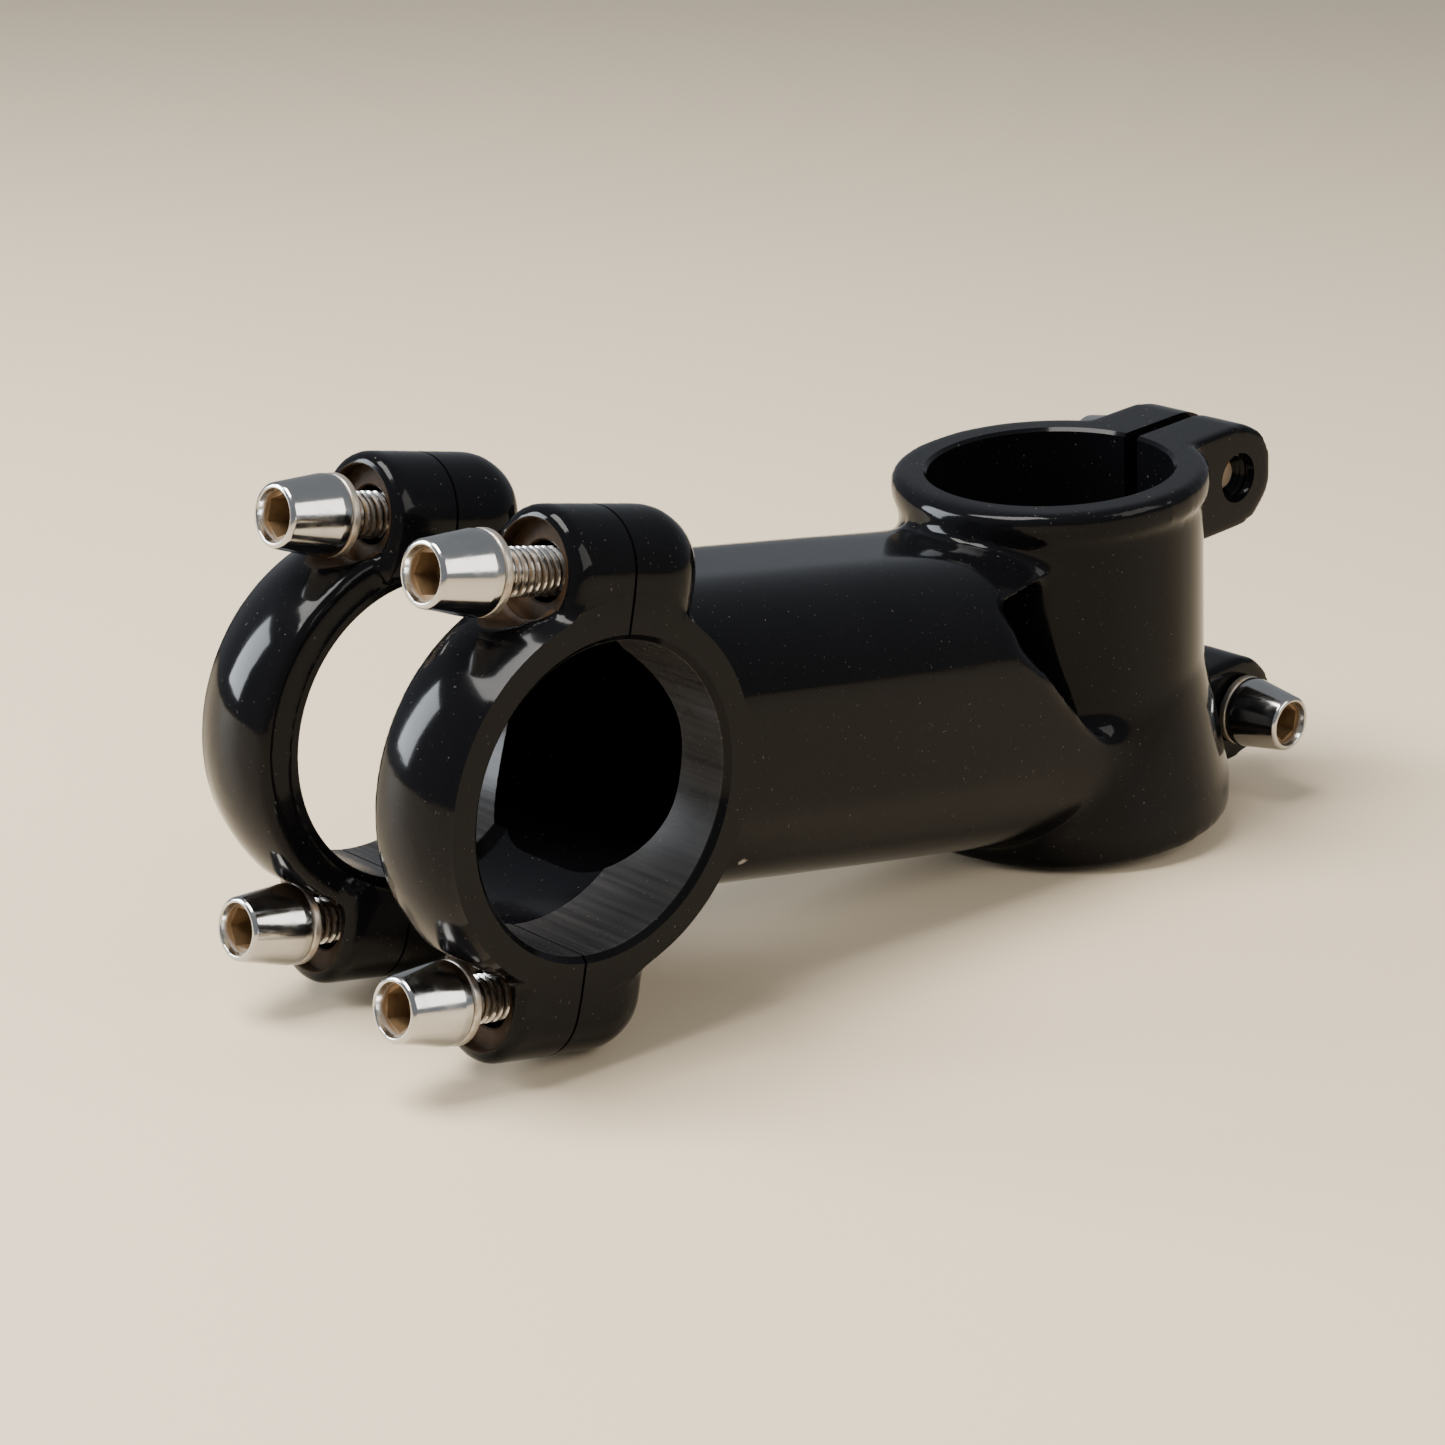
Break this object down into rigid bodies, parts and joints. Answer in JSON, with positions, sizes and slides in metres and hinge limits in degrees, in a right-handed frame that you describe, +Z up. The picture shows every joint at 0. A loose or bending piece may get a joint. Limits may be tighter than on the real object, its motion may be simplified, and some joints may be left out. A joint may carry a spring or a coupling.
{
  "type": "handlebar stem",
  "caption": "Threadless bicycle stem in gloss black: steerer clamp with a pinch slot behind, hollow rising extension, and split bar clamps with separate front caps on backed-out screws.",
  "frame": {"origin": "on the steerer bore's axis, at the lower face of the steerer clamp", "axes": "+Z up along the steerer bore, -Y forwards to the handlebar, X along the handlebar with +X on the rider's left"},
  "size_m": [0.0412, 0.1419, 0.0644],
  "materials": {
    "painted_alloy": "thick gloss black paint on forged aluminium, with small chips",
    "screw_steel": "bright plated steel, grimy in the sockets and threads",
    "washer_steel": "dull steel with brown grime"
  },
  "bodies": {
    "stem": {"stem_body": "painted_alloy"},
    "faceplate_left": {"faceplate_left": "painted_alloy"},
    "faceplate_right": {"faceplate_right": "painted_alloy"},
    "cap_left_upper_washer": {"faceplate_washer_left_upper": "washer_steel"},
    "cap_left_upper_bolt": {"faceplate_bolt_left_upper": "screw_steel"},
    "cap_left_lower_washer": {"faceplate_washer_left_lower": "washer_steel"},
    "cap_left_lower_bolt": {"faceplate_bolt_left_lower": "screw_steel"},
    "cap_right_upper_washer": {"faceplate_washer_right_upper": "washer_steel"},
    "cap_right_upper_bolt": {"faceplate_bolt_right_upper": "screw_steel"},
    "cap_right_lower_washer": {"faceplate_washer_right_lower": "washer_steel"},
    "cap_right_lower_bolt": {"faceplate_bolt_right_lower": "screw_steel"},
    "pinch_upper_washer": {"pinch_washer_upper": "washer_steel"},
    "pinch_upper_bolt": {"pinch_bolt_upper": "screw_steel"},
    "pinch_lower_washer": {"pinch_washer_lower": "washer_steel"},
    "pinch_lower_bolt": {"pinch_bolt_lower": "screw_steel"}
  },
  "joints": [
    {"name": "faceplate_left_off", "type": "slide", "parent": "stem", "child": "faceplate_left", "axis": [0, -0.9659, 0.2588], "range_m": [0, 0.03]},
    {"name": "faceplate_right_off", "type": "slide", "parent": "stem", "child": "faceplate_right", "axis": [0, -0.9659, 0.2588], "range_m": [0, 0.03]},
    {"name": "cap_left_upper_travel", "type": "slide", "parent": "faceplate_left", "child": "cap_left_upper_washer", "axis": [0, -0.9659, 0.2588], "range_m": [-0.00728, 0.0036]},
    {"name": "cap_left_upper_turn", "type": "hinge", "parent": "cap_left_upper_washer", "child": "cap_left_upper_bolt", "pos_m": [0.01365, -0.09441, 0.05926], "axis": [0, -0.9659, 0.2588], "range_deg": [-3278, 1622]},
    {"name": "cap_left_lower_travel", "type": "slide", "parent": "faceplate_left", "child": "cap_left_lower_washer", "axis": [0, -0.9659, 0.2588], "range_m": [-0.00438, 0.0064]},
    {"name": "cap_left_lower_turn", "type": "hinge", "parent": "cap_left_lower_washer", "child": "cap_left_lower_bolt", "pos_m": [0.01365, -0.10274, 0.01697], "axis": [0, -0.9659, 0.2588], "range_deg": [-1973, 2882]},
    {"name": "cap_right_upper_travel", "type": "slide", "parent": "faceplate_right", "child": "cap_right_upper_washer", "axis": [0, -0.9659, 0.2588], "range_m": [-0.00438, 0.0064]},
    {"name": "cap_right_upper_turn", "type": "hinge", "parent": "cap_right_upper_washer", "child": "cap_right_upper_bolt", "pos_m": [-0.01365, -0.09161, 0.05851], "axis": [0, -0.9659, 0.2588], "range_deg": [-1973, 2882]},
    {"name": "cap_right_lower_travel", "type": "slide", "parent": "faceplate_right", "child": "cap_right_lower_washer", "axis": [0, -0.9659, 0.2588], "range_m": [-0.00328, 0.0074]},
    {"name": "cap_right_lower_turn", "type": "hinge", "parent": "cap_right_lower_washer", "child": "cap_right_lower_bolt", "pos_m": [-0.01365, -0.10167, 0.01668], "axis": [0, -0.9659, 0.2588], "range_deg": [-1478, 3332]},
    {"name": "pinch_upper_travel", "type": "slide", "parent": "stem", "child": "pinch_upper_washer", "axis": [-1, 0, 0], "range_m": [-0.00038, 0.004]},
    {"name": "pinch_upper_turn", "type": "hinge", "parent": "pinch_upper_washer", "child": "pinch_upper_bolt", "pos_m": [-0.0084, 0.0245, 0.0361], "axis": [-1, 0, 0], "range_deg": [-173, 1802]},
    {"name": "pinch_lower_travel", "type": "slide", "parent": "stem", "child": "pinch_lower_washer", "axis": [1, 0, 0], "range_m": [-0.00038, 0.004]},
    {"name": "pinch_lower_turn", "type": "hinge", "parent": "pinch_lower_washer", "child": "pinch_lower_bolt", "pos_m": [0.0084, 0.0245, 0.0064], "axis": [1, 0, 0], "range_deg": [-173, 1802]}
  ],
  "couplings": [
    {"joint": "cap_left_upper_turn", "follows": "cap_left_upper_travel", "rad_per_m": 7854},
    {"joint": "cap_left_lower_turn", "follows": "cap_left_lower_travel", "rad_per_m": 7854},
    {"joint": "cap_right_upper_turn", "follows": "cap_right_upper_travel", "rad_per_m": 7854},
    {"joint": "cap_right_lower_turn", "follows": "cap_right_lower_travel", "rad_per_m": 7854},
    {"joint": "pinch_upper_turn", "follows": "pinch_upper_travel", "rad_per_m": 7854},
    {"joint": "pinch_lower_turn", "follows": "pinch_lower_travel", "rad_per_m": 7854}
  ]
}
